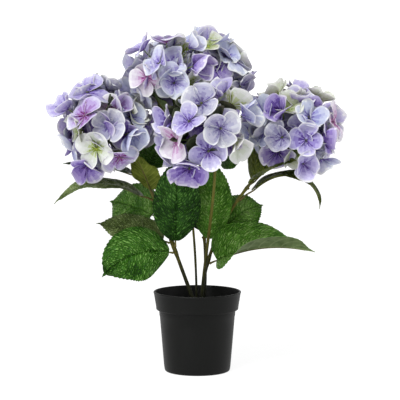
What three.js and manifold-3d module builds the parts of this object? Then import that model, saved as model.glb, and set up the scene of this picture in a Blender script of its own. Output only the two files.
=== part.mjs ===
// A potted artificial hydrangea: five stems stand in a weighted nursery pot. Each ends in a mophead
// of four-petalled florets, and serrated leaves grow from it on short stalks.
// Millimetres, +Z up, origin at the centre of the pot's underside, and the front of the plant is -Y.

import * as THREE from "three";
import { mergeVertices } from "three/addons/utils/BufferGeometryUtils.js";
import Module from "manifold-3d";

const wasm = await Module();
wasm.setup();

// ---------- driving dimensions ----------

const CLEAR = 0.3; // gap between pieces that touch

const POT = {
  height: 110,
  rimRadius: 60, // outside, at the lip
  bandRadius: 56.2, // outside, at the foot of the rim band
  bandHeight: 24,
  bodyRadius: 52, // outside, just under the band
  footRadius: 45,
  footRound: 3.5,
  wall: 1.7,
  lip: 2.6,
  sides: 32,
};

const FILL = { depth: 23, floor: 3, dome: 2.5 }; // depth is the space left under the rim

const FLORET = {
  reach: 28, // centre to the corners of a petal
  shoulderAngle: 25, // degrees from a petal's middle line to each of its two corners
  notch: 0.36, // share of the reach at the notch between two petals
  thickness: 1.8,
  cup: [10, 46], // degrees that the petals rise, least and most
  size: [0.86, 1.08],
};

const HEAD = {
  hub: 16, // ball centre back to the hub, where the branches spread
  hubRadius: 3.2,
  branchRadius: 1.7,
  branchSplit: 0.5, // share of the way from the hub to the florets
  overrun: 1.5, // how far a branch runs on past its ends, into what it joins
  stalkRadius: 1.1,
  sectors: 6, // side branches round the axis
  capAngle: 42, // florets within this angle of the axis share the top branch
  layers: [0, -7, 4], // steps in or out of the ball, dealt in turn
  jitter: 0.16, // radians that a floret may stray from its place
  tilt: 0.6, // how far a floret may face away from straight out
  most: 18, // furthest that a floret moves in to clear the next head
  touch: 7, // least distance between a floret's marks and a leaf or stem
};

const STEM = { steps: 14, sides: 6, node: 0.35, nodeLength: 5 };

const LEAF = {
  stalkRadius: 1.5,
  stalkSides: 4,
  thickness: 1.7,
  stations: [0, 0.07, 0.2, 0.4, 0.6, 0.78, 0.9, 1],
  across: [-1, -0.55, 0, 0.55, 1],
  fold: 0.2, // rise of a half blade towards its edge, per width
  curl: 0.26, // fall of the outer blade, per width
  fullest: 0.8, // the lower, the nearer its stalk a blade is widest
  egg: 0.92, // share of the length that the egg-shaped part takes
  roundness: 0.68, // below 1 the egg is blunter
  tail: 0.1, // width of the drawn-out tip, as a share of the blade's
  tailFrom: 0.86, // share of the length where the tail starts to narrow
};

// Each head is a ball of florets round `centre`, open at the back where its stem comes in. `axis` is
// the heading and rise of the line from its stem to its top, `stalk` how far back from the centre the
// stem's tip stands, and `open` the angle off that line at which the florets end.
const HEADS = {
  left: { centre: [-118, -14, 336], axis: [200, 54], stalk: 58, radius: 58, florets: 30, open: 136, seed: 6 },
  right: { centre: [128, 1, 326], axis: [-14, 51], stalk: 53, radius: 54, florets: 28, open: 136, seed: 20 },
  front: { centre: [9, -80, 331], axis: [245, 52], stalk: 50, radius: 53, florets: 18, open: 120, seed: 17 },
  top: { centre: [-37, -20, 405], axis: [200, 80], stalk: 53, radius: 46, florets: 19, open: 140, seed: 24 },
  back: { centre: [14, 62, 403], axis: [70, 66], stalk: 55, radius: 48, florets: 24, open: 140, seed: 16 },
};

// A stem runs from its foot on the fill, by way of a handle, to the underside of its head, which it
// meets square on: `reach` is how far back along the head's axis that last stretch begins.
const STEMS = {
  left: { foot: [-1, -5], handle: [-30, -3, 161], reach: 56, radius: [2.7, 1.9] },
  right: { foot: [5, 2], handle: [8, 2, 193], reach: 36, radius: [2.4, 1.8] },
  front: { foot: [4, -9], handle: [12, -12, 173], reach: 24, radius: [2.2, 1.8] },
  top: { foot: [-1, 5], handle: [-1, 10, 203], reach: 80, radius: [1.7, 1.5] },
  back: { foot: [9, 9], handle: [18, 24, 173], reach: 80, radius: [2, 1.7] },
};

// Leaves by stem. A leaf leaves its stem at share `at` of the stem's length, on a stalk of its own.
// Rise and roll each go from a first value at the stalk to a second at the tip, in degrees, and roll
// turns the leaf's face aside. With `late` above 1 the rise changes most near the tip. `fullest` and
// `fold` stand in for the common values in LEAF.
const LEAVES = {
  left: {
    low: {
      at: 0.34, heading: 196, rise: [12, -50], roll: [76, 70], fullest: 1,
      length: 106, width: 74, stalk: 5,
    },
    upright: {
      at: 0.37, heading: 276, rise: [68, 92], roll: [180, 180], fullest: 0.9,
      length: 126, width: 64, stalk: 8,
    },
    mid: { at: 0.54, heading: 133, rise: [17, -2], roll: [60, 60], length: 94, width: 72, stalk: 20 },
    behind: { at: 0.4, heading: 174, rise: [22, 5], roll: [50, 50], length: 97, width: 50, stalk: 9 },
    long: {
      at: 0.68, heading: 194, rise: [28, -52], roll: [12, 8], late: 1.4,
      length: 136, width: 56, stalk: 14,
    },
    crest: { at: 0.7, heading: 231, rise: [62, 48], roll: [0, 0], length: 62, width: 50, stalk: 11 },
    back: { at: 0.86, heading: 172, rise: [20, -6], roll: [0, 0], length: 100, width: 56, stalk: 12 },
    inner: { at: 0.86, heading: 64, rise: [50, 20], roll: [-20, -20], length: 62, width: 54, stalk: 10 },
  },
  right: {
    upright: {
      at: 0.23, heading: -3, rise: [84, 89], roll: [-90, -90], fullest: 0.95,
      length: 112, width: 54, stalk: 26,
    },
    low: {
      at: 0.21, heading: -20, rise: [27, -14], roll: [-66, 44], fullest: 0.58, fold: 0.8,
      length: 146, width: 70, stalk: 10,
    },
    behind: { at: 0.38, heading: 30, rise: [46, 0], roll: [-46, -46], length: 71, width: 62, stalk: 10 },
    droop: {
      at: 0.61, heading: -8, rise: [42, -102], roll: [-6, -6], late: 1.4,
      length: 130, width: 46, stalk: 20,
    },
    crest: {
      at: 0.7, heading: -34, rise: [46, 2], roll: [-44, -44], fold: 0.7,
      length: 79, width: 80, stalk: 14,
    },
    back: { at: 0.84, heading: 30, rise: [30, -20], roll: [0, 0], length: 90, width: 56, stalk: 12 },
  },
  front: {
    side: { at: 0.9, heading: -38, rise: [36, 4], roll: [-56, -56], length: 60, width: 42, stalk: 9 },
  },
  top: {
    left: { at: 0.92, heading: 198, rise: [58, 50], roll: [0, 0], length: 56, width: 50, stalk: 9 },
    right: { at: 0.74, heading: 10, rise: [40, 0], roll: [-20, -20], length: 64, width: 48, stalk: 12 },
  },
  back: {
    low: { at: 0.34, heading: 84, rise: [36, -20], roll: [0, 0], length: 104, width: 62, stalk: 14 },
    left: { at: 0.43, heading: 148, rise: [8, -46], roll: [0, 0], length: 90, width: 60, stalk: 14 },
    right: { at: 0.46, heading: 60, rise: [20, -34], roll: [0, 0], length: 90, width: 58, stalk: 14 },
    crest: { at: 0.8, heading: 100, rise: [40, -30], roll: [0, 0], length: 86, width: 56, stalk: 12 },
  },
};

// ---------- small tools ----------

const UP = new THREE.Vector3(0, 0, 1);
const GOLDEN_ANGLE = Math.PI * (3 - Math.sqrt(5));
const radians = THREE.MathUtils.degToRad;
const mix = THREE.MathUtils.lerp;
const vector = ([x, y, z]) => new THREE.Vector3(x, y, z);
const allLeaves = Object.entries(LEAVES).flatMap(([stem, leaves]) =>
  Object.entries(leaves).map(([place, leaf]) => ({ name: `leaf_${stem}_${place}`, stem, ...leaf })),
);

// Heading is counted from +X towards +Y, and rise is the slope above level, both in degrees.
function direction(heading, rise) {
  const h = radians(heading);
  const r = radians(rise);
  return new THREE.Vector3(Math.cos(r) * Math.cos(h), Math.cos(r) * Math.sin(h), Math.sin(r));
}

// Park and Miller's generator: the same seed always grows the same head.
function seeded(seed) {
  let state = seed;
  return () => {
    state = (state * 48271) % 2147483647;
    return state / 2147483647;
  };
}

// Two unit vectors square to an axis. The first is level, or +X where the axis is upright.
function across(axis) {
  const side = new THREE.Vector3().crossVectors(UP, axis);
  if (side.length() < 1e-3) side.set(1, 0, 0);
  side.normalize();
  return [side, new THREE.Vector3().crossVectors(axis, side).normalize()];
}

function geometry(points, faces) {
  const positions = new Float32Array(points.flatMap((p) => [p.x, p.y, p.z]));
  const made = new THREE.BufferGeometry();
  made.setAttribute("position", new THREE.BufferAttribute(positions, 3));
  made.setIndex(faces.flat());
  return made;
}

function solid(shape) {
  const bare = shape.clone();
  bare.deleteAttribute("normal");
  bare.deleteAttribute("uv");
  const merged = mergeVertices(bare, 1e-4);
  const mesh = new wasm.Mesh({
    numProp: 3,
    vertProperties: merged.attributes.position.array,
    triVerts: new Uint32Array(merged.index.array),
  });
  return new wasm.Manifold(mesh);
}

function fused(shapes) {
  return shapes.map(solid).reduce((whole, piece) => whole.add(piece));
}

function unpacked(body) {
  const { numProp, numVert, vertProperties, triVerts } = body.getMesh();
  const positions = new Float32Array(numVert * 3);
  for (let i = 0; i < numVert; i++) {
    positions.set(vertProperties.subarray(i * numProp, i * numProp + 3), i * 3);
  }
  const made = new THREE.BufferGeometry();
  made.setAttribute("position", new THREE.BufferAttribute(positions, 3));
  made.setIndex(new THREE.BufferAttribute(triVerts, 1));
  return made;
}

// A closed round limb through the points, with one radius for each. Its first ring is square to
// firstWay where that is given, and otherwise to the limb. Each ring takes its side from the one
// before, so the limb doesn't twist.
function limb(points, radii, sides, firstWay) {
  let side;
  const rings = points.map((point, i) => {
    const before = points[Math.max(i - 1, 0)];
    const after = points[Math.min(i + 1, points.length - 1)];
    const way = i === 0 && firstWay ? firstWay : new THREE.Vector3().subVectors(after, before).normalize();
    side = side ? side.clone().addScaledVector(way, -side.dot(way)).normalize() : across(way)[0];
    const other = new THREE.Vector3().crossVectors(way, side);
    return Array.from({ length: sides }, (_, k) => {
      const a = (2 * Math.PI * k) / sides;
      return point
        .clone()
        .addScaledVector(side, radii[i] * Math.cos(a))
        .addScaledVector(other, radii[i] * Math.sin(a));
    });
  });
  const faces = [];
  for (let i = 0; i < rings.length - 1; i++) {
    for (let k = 0; k < sides; k++) {
      const a = i * sides + k;
      const b = i * sides + ((k + 1) % sides);
      faces.push([a, b, a + sides], [b, b + sides, a + sides]);
    }
  }
  const last = (rings.length - 1) * sides;
  for (let k = 1; k < sides - 1; k++) {
    faces.push([0, k + 1, k], [last, last + k, last + k + 1]);
  }
  return geometry(rings.flat(), faces);
}

// ---------- pot and fill ----------

function turned(profile) {
  const points = profile.map(([r, z]) => new THREE.Vector2(r, z));
  return new THREE.LatheGeometry(points, POT.sides).rotateX(Math.PI / 2);
}

function pot() {
  const { height, bandHeight, rimRadius, bandRadius, bodyRadius, footRadius, footRound, wall, lip } = POT;
  const bandFoot = height - bandHeight;
  return turned([
    [0, 0],
    [footRadius - footRound, 0],
    [footRadius, footRound],
    [bodyRadius, bandFoot - 3],
    [bandRadius - 0.8, bandFoot],
    [bandRadius, bandFoot + 1.5],
    [rimRadius - 0.7, height - 3],
    [rimRadius, height - 1.5],
    [rimRadius - 0.9, height],
    [rimRadius - lip + 0.5, height],
    [rimRadius - lip, height - 1.5],
    [bandRadius - wall, bandFoot + 2],
    [bodyRadius - wall, bandFoot - 2],
    [footRadius - wall, FILL.floor],
    [0, FILL.floor],
  ]);
}

function fillTop() {
  return POT.height - FILL.depth;
}

function fill() {
  const low = FILL.floor + CLEAR;
  const top = fillTop();
  const inside = (z) => {
    const share = (z - FILL.floor) / (POT.height - POT.bandHeight - 2 - FILL.floor);
    return mix(POT.footRadius, POT.bodyRadius, share) - POT.wall - 2 * CLEAR;
  };
  return turned([
    [0, low],
    [inside(low), low],
    [inside(top - FILL.dome), top - FILL.dome],
    [30, top],
    [0, top],
  ]);
}

// ---------- stems ----------

function headAxis(head) {
  return direction(...head.axis);
}

function stemCurve(name) {
  const stem = STEMS[name];
  const head = HEADS[name];
  const axis = headAxis(head);
  const foot = new THREE.Vector3(stem.foot[0], stem.foot[1], fillTop() + CLEAR);
  const tip = vector(head.centre).addScaledVector(axis, -head.stalk - CLEAR);
  const approach = tip.clone().addScaledVector(axis, -stem.reach);
  return new THREE.CubicBezierCurve3(foot, vector(stem.handle), approach, tip);
}

// The stem tapers, and swells a little at each place where leaves grow.
function stemRadius(name, curve, share) {
  const { radius } = STEMS[name];
  const here = curve.getPoint(share);
  const swelling = Object.values(LEAVES[name])
    .map((leaf) => here.distanceTo(curve.getPoint(leaf.at)) / STEM.nodeLength)
    .reduce((most, d) => Math.max(most, Math.exp(-d * d)), 0);
  return mix(radius[0], radius[1], share) * (1 + STEM.node * swelling);
}

function stem(name) {
  const curve = stemCurve(name);
  const even = Array.from({ length: STEM.steps + 1 }, (_, i) => i / STEM.steps);
  const nodes = Object.values(LEAVES[name]).map((leaf) => leaf.at);
  const shares = [...new Set([...even, ...nodes])].sort((a, b) => a - b);
  const points = shares.map((share) => curve.getPoint(share));
  const radii = shares.map((share) => stemRadius(name, curve, share));
  return limb(points, radii, STEM.sides, UP);
}

// ---------- leaves ----------

// Half width of a blade at share s of its length, as a share of the full half width: an egg shape
// that runs out into a narrow tail.
function bladeOutline(leaf, s) {
  const inEgg = Math.min(s / LEAF.egg, 1);
  const egg = Math.sin(Math.PI * inEgg ** (leaf.fullest ?? LEAF.fullest)) ** LEAF.roundness;
  const tail = s > 0.5 ? Math.min(LEAF.tail, (LEAF.tail * (1 - s)) / (1 - LEAF.tailFrom)) : 0;
  return Math.max(egg, tail);
}

// Where a leaf's stalk starts, just off its stem, and the way straight out of the stem there.
function leafBase(leaf) {
  const curve = stemCurve(leaf.stem);
  const along = curve.getTangent(leaf.at).normalize();
  const first = direction(leaf.heading, leaf.rise[0]);
  const out = first.addScaledVector(along, -first.dot(along)).normalize();
  const offset = stemRadius(leaf.stem, curve, leaf.at) + CLEAR;
  return { base: curve.getPoint(leaf.at).addScaledVector(out, offset), out };
}

// Walks along the stalk and midrib. Gives the point, the way on, the side and the face at each share.
function midrib(leaf) {
  const { base } = leafBase(leaf);
  const steps = 40;
  const whole = leaf.stalk + leaf.length;
  const walk = [];
  const here = base.clone();
  for (let i = 0; i <= steps; i++) {
    const travelled = (whole * i) / steps;
    const share = Math.max(0, (travelled - leaf.stalk) / leaf.length);
    const way = direction(leaf.heading, mix(leaf.rise[0], leaf.rise[1], share ** (leaf.late ?? 1)));
    walk.push({ travelled, point: here.clone(), way });
    here.addScaledVector(way, whole / steps);
  }
  return (travelled) => {
    const position = Math.min((travelled / whole) * steps, steps - 1e-6);
    const i = Math.floor(position);
    const point = walk[i].point.clone().lerp(walk[i + 1].point, position - i);
    const way = walk[i].way.clone().lerp(walk[i + 1].way, position - i).normalize();
    const level = direction(leaf.heading + 90, 0);
    const above = new THREE.Vector3().crossVectors(way, level);
    const share = THREE.MathUtils.clamp((travelled - leaf.stalk) / leaf.length, 0, 1);
    const roll = radians(mix(leaf.roll[0], leaf.roll[1], share));
    const side = level.clone().multiplyScalar(Math.cos(roll)).addScaledVector(above, -Math.sin(roll));
    const face = above.clone().multiplyScalar(Math.cos(roll)).addScaledVector(level, Math.sin(roll));
    return { point, way, side, face };
  };
}

// A point of the blade's middle surface: s along the midrib, q across it from -1 to 1.
function bladePoint(leaf, walk, s, q) {
  const { point, side, face } = walk(leaf.stalk + leaf.length * s);
  const half = (leaf.width / 2) * bladeOutline(leaf, s);
  const lift = half * ((leaf.fold ?? LEAF.fold) * Math.abs(q) - LEAF.curl * q * q);
  return point.clone().addScaledVector(side, half * q).addScaledVector(face, lift);
}

function blade(leaf, walk) {
  const columns = LEAF.across.length;
  const inner = LEAF.stations.slice(1, -1);
  const points = [bladePoint(leaf, walk, 0, 0)];
  const rows = inner.map((s) => {
    const face = walk(leaf.stalk + leaf.length * s).face;
    const upper = [];
    const lower = [];
    LEAF.across.forEach((q, k) => {
      const middle = bladePoint(leaf, walk, s, q);
      const edge = k === 0 || k === columns - 1;
      const half = edge ? 0 : (LEAF.thickness / 2) * (q === 0 ? 1 : 0.7) * (s > 0.8 ? 0.6 : 1);
      upper.push(points.push(middle.clone().addScaledVector(face, half)) - 1);
      lower.push(edge ? upper[k] : points.push(middle.clone().addScaledVector(face, -half)) - 1);
    });
    return { upper, lower };
  });
  const tip = points.push(bladePoint(leaf, walk, 1, 0)) - 1;
  const faces = [];
  const strip = (a, b, flip) => {
    for (let k = 0; k < columns - 1; k++) {
      const quad = [[a[k], b[k], b[k + 1]], [a[k], b[k + 1], a[k + 1]]];
      faces.push(...quad.map((f) => (flip ? f.reverse() : f)).filter((f) => new Set(f).size === 3));
    }
  };
  const fan = (apex, row, flip) => {
    for (let k = 0; k < columns - 1; k++) {
      faces.push(flip ? [apex, row[k + 1], row[k]] : [apex, row[k], row[k + 1]]);
    }
  };
  fan(0, rows[0].upper, false);
  fan(0, rows[0].lower, true);
  for (let i = 0; i < rows.length - 1; i++) {
    strip(rows[i].upper, rows[i + 1].upper, false);
    strip(rows[i].lower, rows[i + 1].lower, true);
  }
  fan(tip, rows.at(-1).upper, true);
  fan(tip, rows.at(-1).lower, false);
  return geometry(points, faces);
}

function leafBody(leaf) {
  const walk = midrib(leaf);
  const sunk = 0.24 * leaf.length; // the stalk runs on under the blade as its rib
  const shares = [0, 0.4, 1];
  const points = shares.map((share) => {
    const travelled = share * (leaf.stalk + sunk);
    const { point, face } = walk(travelled);
    return point.addScaledVector(face, -0.5 * share);
  });
  const radii = shares.map((share) => LEAF.stalkRadius * (1 - 0.55 * share));
  const stalk = limb(points, radii, LEAF.stalkSides, leafBase(leaf).out);
  return unpacked(fused([stalk, blade(leaf, walk)]));
}

// ---------- flower heads ----------

// One floret: four petals in a cross round a thick middle, rising from it by the cup angle.
function floretShape({ size, cup }) {
  const half = FLORET.thickness * 0.6;
  const points = [new THREE.Vector3(0, 0, half), new THREE.Vector3(0, 0, -half)];
  const reach = FLORET.reach * size;
  const corners = [
    [-45, FLORET.notch],
    [-FLORET.shoulderAngle, 1],
    [FLORET.shoulderAngle, 1],
  ];
  for (let petal = 0; petal < 4; petal++) {
    for (const [angle, share] of corners) {
      const a = radians(angle + 90 * petal);
      const r = reach * share;
      const level = r * Math.cos(cup);
      points.push(new THREE.Vector3(level * Math.cos(a), level * Math.sin(a), r * Math.sin(cup)));
    }
  }
  const ring = points.length - 2;
  const faces = [];
  for (let i = 0; i < ring; i++) {
    const here = 2 + i;
    const next = 2 + ((i + 1) % ring);
    faces.push([0, here, next], [1, next, here]);
  }
  return geometry(points, faces);
}

// Where every floret of a head sits and which way it looks: a golden-angle spiral over the open ball.
function floretPlaces(name) {
  const head = HEADS[name];
  const draw = seeded(head.seed);
  const axis = headAxis(head);
  const [side, other] = across(axis);
  const centre = vector(head.centre);
  const floor = Math.cos(radians(head.open));
  const places = [];
  for (let i = 0; i < head.florets; i++) {
    const height = mix(1, floor, (i + 0.5) / head.florets);
    const polar = Math.acos(height) + HEAD.jitter * (draw() - 0.5);
    const azimuth = i * GOLDEN_ANGLE + HEAD.jitter * (draw() - 0.5);
    const outward = axis
      .clone()
      .multiplyScalar(Math.cos(polar))
      .addScaledVector(side, Math.sin(polar) * Math.cos(azimuth))
      .addScaledVector(other, Math.sin(polar) * Math.sin(azimuth));
    const face = outward
      .clone()
      .addScaledVector(side, HEAD.tilt * (draw() - 0.5))
      .addScaledVector(other, HEAD.tilt * (draw() - 0.5))
      .normalize();
    const size = mix(FLORET.size[0], FLORET.size[1], draw());
    const cup = radians(mix(FLORET.cup[0], FLORET.cup[1], draw()));
    const spin = draw() * Math.PI * 0.5;
    const radius = head.radius + HEAD.layers[i % HEAD.layers.length];
    const point = centre.clone().addScaledVector(outward, radius);
    places.push({ point, outward, face, size, cup, spin, polar, azimuth });
  }
  return places;
}

function petalTips({ point, face, size, cup, spin }) {
  const [side, other] = across(face);
  return [0, 1, 2, 3].map((petal) => {
    const a = spin + (petal * Math.PI) / 2;
    const level = FLORET.reach * size * Math.cos(cup);
    return point
      .clone()
      .addScaledVector(side, level * Math.cos(a))
      .addScaledVector(other, level * Math.sin(a))
      .addScaledVector(face, FLORET.reach * size * Math.sin(cup));
  });
}

// Planes half way to each of the other heads, seen from a head's centre.
function wallsOf(name) {
  const centre = vector(HEADS[name].centre);
  const others = Object.keys(HEADS).filter((other) => other !== name);
  return others.map((other) => {
    const apart = vector(HEADS[other].centre).sub(centre);
    return { way: apart.clone().normalize(), reach: apart.length() / 2 - CLEAR };
  });
}

// How far a floret reaches past a wall, measured inwards along its own stalk.
function crossing(place, centre, { way, reach }) {
  const marks = [place.point, ...petalTips(place)];
  const past = Math.max(...marks.map((mark) => mark.clone().sub(centre).dot(way))) - reach;
  return past > 0 ? past / Math.max(place.outward.dot(way), 0.2) : 0;
}

// A floret that would cross half way to another head sits closer in. One that has no room even there,
// or that would touch a leaf or a stem, is left out.
function keptFlorets(name) {
  const centre = vector(HEADS[name].centre);
  const walls = wallsOf(name);
  return floretPlaces(name).filter((place) => {
    const inwards = Math.max(...walls.map((wall) => crossing(place, centre, wall)));
    if (inwards > HEAD.most) return false;
    place.point.addScaledVector(place.outward, -inwards);
    const tips = petalTips(place);
    const middles = tips.map((tip) => tip.clone().lerp(place.point, 0.5));
    const marks = [place.point, ...tips, ...middles];
    return !marks.some((mark) => obstacles.some((o) => o.distanceTo(mark) < HEAD.touch));
  });
}

// Points all over the leaves and stems, which the florets keep away from.
const obstacles = [];
for (const leaf of allLeaves) {
  const walk = midrib(leaf);
  for (let i = 0; i <= 12; i++) {
    for (const q of [-1, -0.5, 0, 0.5, 1]) obstacles.push(bladePoint(leaf, walk, i / 12, q));
  }
}
for (const name of Object.keys(STEMS)) {
  const curve = stemCurve(name);
  for (let i = 0; i <= 40; i++) obstacles.push(curve.getPoint(i / 40));
}

function placedFloret(place) {
  const [side, other] = across(place.face);
  const turn = new THREE.Matrix4().makeBasis(side, other, place.face);
  return floretShape(place).rotateZ(place.spin).applyMatrix4(turn.setPosition(place.point));
}

// The branch that carries a floret: one to the top, and one for each sector round the axis.
function branchOf({ polar, azimuth }) {
  if (polar < radians(HEAD.capAngle)) return "top";
  const turn = 2 * Math.PI;
  const ring = polar < radians(88) ? "upper" : "lower";
  return ring + Math.floor(((((azimuth % turn) + turn) % turn) / turn) * HEAD.sectors);
}

function flowerHead(name) {
  const head = HEADS[name];
  const axis = headAxis(head);
  const hub = vector(head.centre).addScaledVector(axis, -HEAD.hub);
  const foot = vector(head.centre).addScaledVector(axis, -head.stalk);
  const kept = keptFlorets(name);
  const branches = Map.groupBy(kept, branchOf);
  const stemEnd = STEMS[name].radius[1];
  const top = hub.clone().addScaledVector(axis, HEAD.overrun);
  const shapes = [limb([foot, top], [stemEnd, HEAD.hubRadius], 5)];
  for (const florets of branches.values()) {
    const mean = new THREE.Vector3();
    for (const floret of florets) mean.addScaledVector(floret.point, 1 / florets.length);
    const fork = hub.clone().lerp(mean, HEAD.branchSplit);
    const way = fork.clone().sub(hub).normalize();
    const start = hub.clone().addScaledVector(way, -HEAD.overrun);
    const past = fork.clone().addScaledVector(way, HEAD.overrun);
    shapes.push(limb([start, past], [HEAD.branchRadius * 1.2, HEAD.branchRadius], 3));
    for (const floret of florets) {
      const sunk = floret.point.clone().addScaledVector(floret.face, 0.4);
      shapes.push(limb([fork, sunk], [HEAD.branchRadius * 0.9, HEAD.stalkRadius], 3));
    }
  }
  shapes.push(...kept.map(placedFloret));
  return unpacked(fused(shapes));
}

// ---------- the plant ----------

const MATERIALS = {
  pot: new THREE.MeshStandardMaterial({ color: 0x232424, roughness: 0.55, metalness: 0 }),
  fill: new THREE.MeshStandardMaterial({ color: 0x1b1713, roughness: 0.95, metalness: 0 }),
  stem: new THREE.MeshStandardMaterial({ color: 0x4c4a22, roughness: 0.7, metalness: 0 }),
  leaf: new THREE.MeshStandardMaterial({ color: 0x2f6b25, roughness: 0.6, metalness: 0 }),
  blossom: new THREE.MeshStandardMaterial({ color: 0xb3a7df, roughness: 0.9, metalness: 0 }),
};

const plant = new THREE.Group();

function add(name, shape, material) {
  const mesh = new THREE.Mesh(shape, material);
  mesh.name = name;
  plant.add(mesh);
}

add("pot", pot(), MATERIALS.pot);
add("pot_fill", fill(), MATERIALS.fill);
for (const name of Object.keys(STEMS)) add(`stem_${name}`, stem(name), MATERIALS.stem);
for (const leaf of allLeaves) add(leaf.name, leafBody(leaf), MATERIALS.leaf);
for (const name of Object.keys(HEADS)) add(`bloom_${name}`, flowerHead(name), MATERIALS.blossom);

export default plant;
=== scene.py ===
"""A potted artificial hydrangea, dressed on its CAD frame.

The pot is plain moulded plastic. Five wire stems stand in a dark crust and end in mopheads of
four-petalled cloth florets. Serrated, quilted leaves grow from the stems on short stalks. The
tables and the growing rule are those of the solids, in millimetres, and the meshes are scaled to
metres.
"""

from math import acos, cos, pi, radians, sin, sqrt
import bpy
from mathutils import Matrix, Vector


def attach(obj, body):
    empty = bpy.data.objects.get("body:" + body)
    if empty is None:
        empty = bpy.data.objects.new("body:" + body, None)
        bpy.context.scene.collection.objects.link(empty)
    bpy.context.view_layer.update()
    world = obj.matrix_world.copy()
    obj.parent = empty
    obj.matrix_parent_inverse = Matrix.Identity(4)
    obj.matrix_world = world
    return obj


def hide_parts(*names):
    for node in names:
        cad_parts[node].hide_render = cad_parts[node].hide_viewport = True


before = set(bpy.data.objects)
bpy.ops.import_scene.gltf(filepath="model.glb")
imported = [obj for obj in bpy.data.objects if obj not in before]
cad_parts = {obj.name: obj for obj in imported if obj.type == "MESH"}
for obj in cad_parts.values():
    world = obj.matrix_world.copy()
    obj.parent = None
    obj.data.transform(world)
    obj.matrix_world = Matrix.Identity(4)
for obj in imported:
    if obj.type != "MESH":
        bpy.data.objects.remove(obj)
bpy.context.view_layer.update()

from types import SimpleNamespace as Values

import bpy
import numpy as np

MM = 0.001
BODY = "root"

# ---- the plant's own sizes, as in the solids ----

CLEAR = 0.3
POT = Values(height=110, rim=60, band=56.2, band_height=24, body=52, foot=45, wall=1.7, lip=2.6)
FILL = Values(depth=23, floor=3, dome=2.5, level=30)
FILL_TOP = POT.height - FILL.depth

FLORET = Values(reach=28, cup=(10, 46), size=(0.86, 1.08))
HEAD = Values(
    hub=16, hub_radius=3.2, branch_radius=1.7, branch_split=0.5, stalk_radius=1.1, sectors=6,
    cap_angle=42, waist_angle=88, layers=(0, -7, 4), jitter=0.16, tilt=0.6, most=18, facing=0.2,
    touch=7,
)
STEM = Values(node=0.35, node_length=5)
LEAF = Values(
    stalk_radius=1.5, fold=0.2, curl=0.26, fullest=0.8, egg=0.92, roundness=0.68, tail=0.1,
    tail_from=0.86,
)


def table(columns, lines):
    """The lines of a table, each with its values by the names of the columns."""
    return {key: Values(**dict(zip(columns.split(), line))) for key, line in lines.items()}


def leaf(*place, fullest=LEAF.fullest, fold=LEAF.fold, late=1):
    """A leaf by its share of the stem, its rise and roll at base and tip, and its sizes."""
    names = "at heading rise roll length width stalk".split()
    return Values(**dict(zip(names, place)), fullest=fullest, fold=fold, late=late)


# An axis is a heading and a rise in degrees. A head is open that far from its axis, in degrees.
HEADS = table("centre axis stalk radius florets open seed", {
    "left": ((-118, -14, 336), (200, 54), 58, 58, 30, 136, 6),
    "right": ((128, 1, 326), (-14, 51), 53, 54, 28, 136, 20),
    "front": ((9, -80, 331), (245, 52), 50, 53, 18, 120, 17),
    "top": ((-37, -20, 405), (200, 80), 53, 46, 19, 140, 24),
    "back": ((14, 62, 403), (70, 66), 55, 48, 24, 140, 16),
})
STEMS = table("foot handle reach radius", {
    "left": ((-1, -5), (-30, -3, 161), 56, (2.7, 1.9)),
    "right": ((5, 2), (8, 2, 193), 36, (2.4, 1.8)),
    "front": ((4, -9), (12, -12, 173), 24, (2.2, 1.8)),
    "top": ((-1, 5), (-1, 10, 203), 80, (1.7, 1.5)),
    "back": ((9, 9), (18, 24, 173), 80, (2, 1.7)),
})
LEAVES = {
    "left": {
        "low": leaf(0.34, 196, (12, -50), (76, 70), 106, 74, 5, fullest=1),
        "upright": leaf(0.37, 276, (68, 92), (180, 180), 126, 64, 8, fullest=0.9),
        "mid": leaf(0.54, 133, (17, -2), (60, 60), 94, 72, 20),
        "behind": leaf(0.4, 174, (22, 5), (50, 50), 97, 50, 9),
        "long": leaf(0.68, 194, (28, -52), (12, 8), 136, 56, 14, late=1.4),
        "crest": leaf(0.7, 231, (62, 48), (0, 0), 62, 50, 11),
        "back": leaf(0.86, 172, (20, -6), (0, 0), 100, 56, 12),
        "inner": leaf(0.86, 64, (50, 20), (-20, -20), 62, 54, 10),
    },
    "right": {
        "upright": leaf(0.23, -3, (84, 89), (-90, -90), 112, 54, 26, fullest=0.95),
        "low": leaf(0.21, -20, (27, -14), (-66, 44), 146, 70, 10, fullest=0.58, fold=0.8),
        "behind": leaf(0.38, 30, (46, 0), (-46, -46), 71, 62, 10),
        "droop": leaf(0.61, -8, (42, -102), (-6, -6), 130, 46, 20, late=1.4),
        "crest": leaf(0.7, -34, (46, 2), (-44, -44), 79, 80, 14, fold=0.7),
        "back": leaf(0.84, 30, (30, -20), (0, 0), 90, 56, 12),
    },
    "front": {
        "side": leaf(0.9, -38, (36, 4), (-56, -56), 60, 42, 9),
    },
    "top": {
        "left": leaf(0.92, 198, (58, 50), (0, 0), 56, 50, 9),
        "right": leaf(0.74, 10, (40, 0), (-20, -20), 64, 48, 12),
    },
    "back": {
        "low": leaf(0.34, 84, (36, -20), (0, 0), 104, 62, 14),
        "left": leaf(0.43, 148, (8, -46), (0, 0), 90, 60, 14),
        "right": leaf(0.46, 60, (20, -34), (0, 0), 90, 58, 14),
        "crest": leaf(0.8, 100, (40, -30), (0, 0), 86, 56, 12),
    },
}

# ---- detail that the solids leave out ----

PETAL = Values(
    rows=11,
    columns=10,
    thickness=0.4,
    lift=(-0.7, 1.0),  # how far the two pairs of petals stand off the floret's middle
    claw=0.07,  # share of the reach where the petal starts
    half_width=0.56,  # share of the reach
    stations=(0, 0.15, 0.35, 0.6, 0.8, 1),
    widths=(0.14, 0.32, 0.64, 0.92, 1, 0.97),
    fan=1.32,  # half the turn of the round tip, in radians
    lobe=0.44,  # length of the round tip, as a share of the reach
    crease=(0.05, 0.18),  # depth and half width of the crease along the middle
)
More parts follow.
